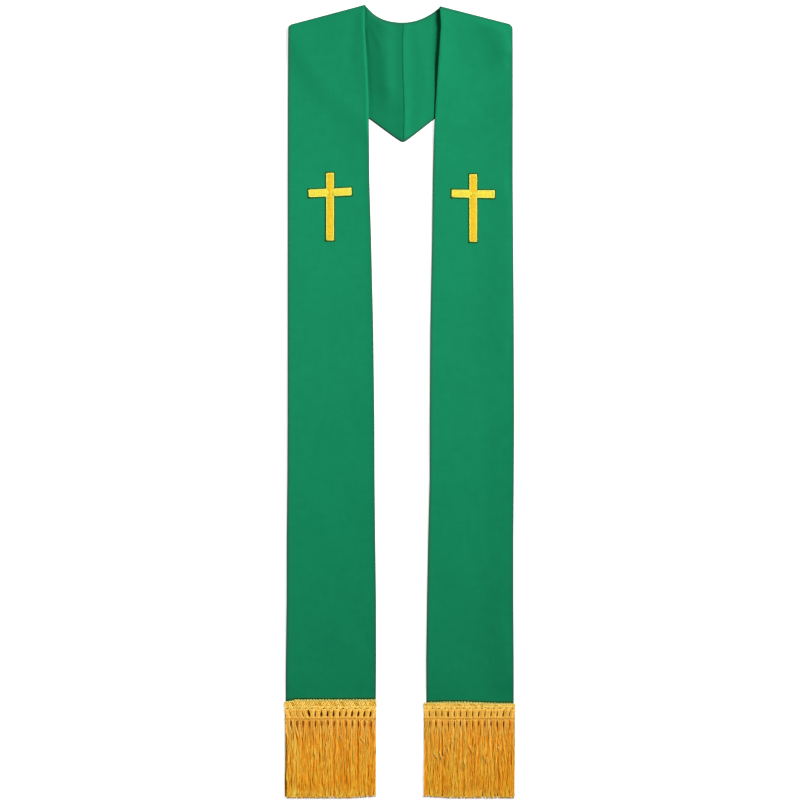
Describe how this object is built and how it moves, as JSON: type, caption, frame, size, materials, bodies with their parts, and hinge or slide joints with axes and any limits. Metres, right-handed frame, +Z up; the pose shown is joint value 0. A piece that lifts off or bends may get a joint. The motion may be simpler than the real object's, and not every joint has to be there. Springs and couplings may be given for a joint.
{
  "type": "clerical stole",
  "caption": "Green clerical stole laid flat, folded at the shoulders over a pointed lined yoke, with gold Latin crosses and knotted gold fringe.",
  "frame": {"origin": "middle of the bounding box's footprint, on the surface that the stole lies on", "axes": "+Z up out of the surface, +Y along the fronts towards the neck, +X to the right as seen from above (the wearer's left front)"},
  "size_m": [0.3712, 1.268, 0.0092],
  "materials": {
    "green_satin": "soft satin sheen",
    "green_lining": "smooth lining with a slight sheen",
    "gold_embroidery": "glossy satin stitch",
    "gold_fringe": "glossy twisted rayon thread"
  },
  "bodies": {
    "root": {"band_left": "green_satin", "band_right": "green_satin", "lining_left": "green_lining", "lining_right": "green_lining", "cross_left": "gold_embroidery", "cross_right": "gold_embroidery", "fringe_left": "gold_fringe", "fringe_right": "gold_fringe"}
  },
  "joints": []
}
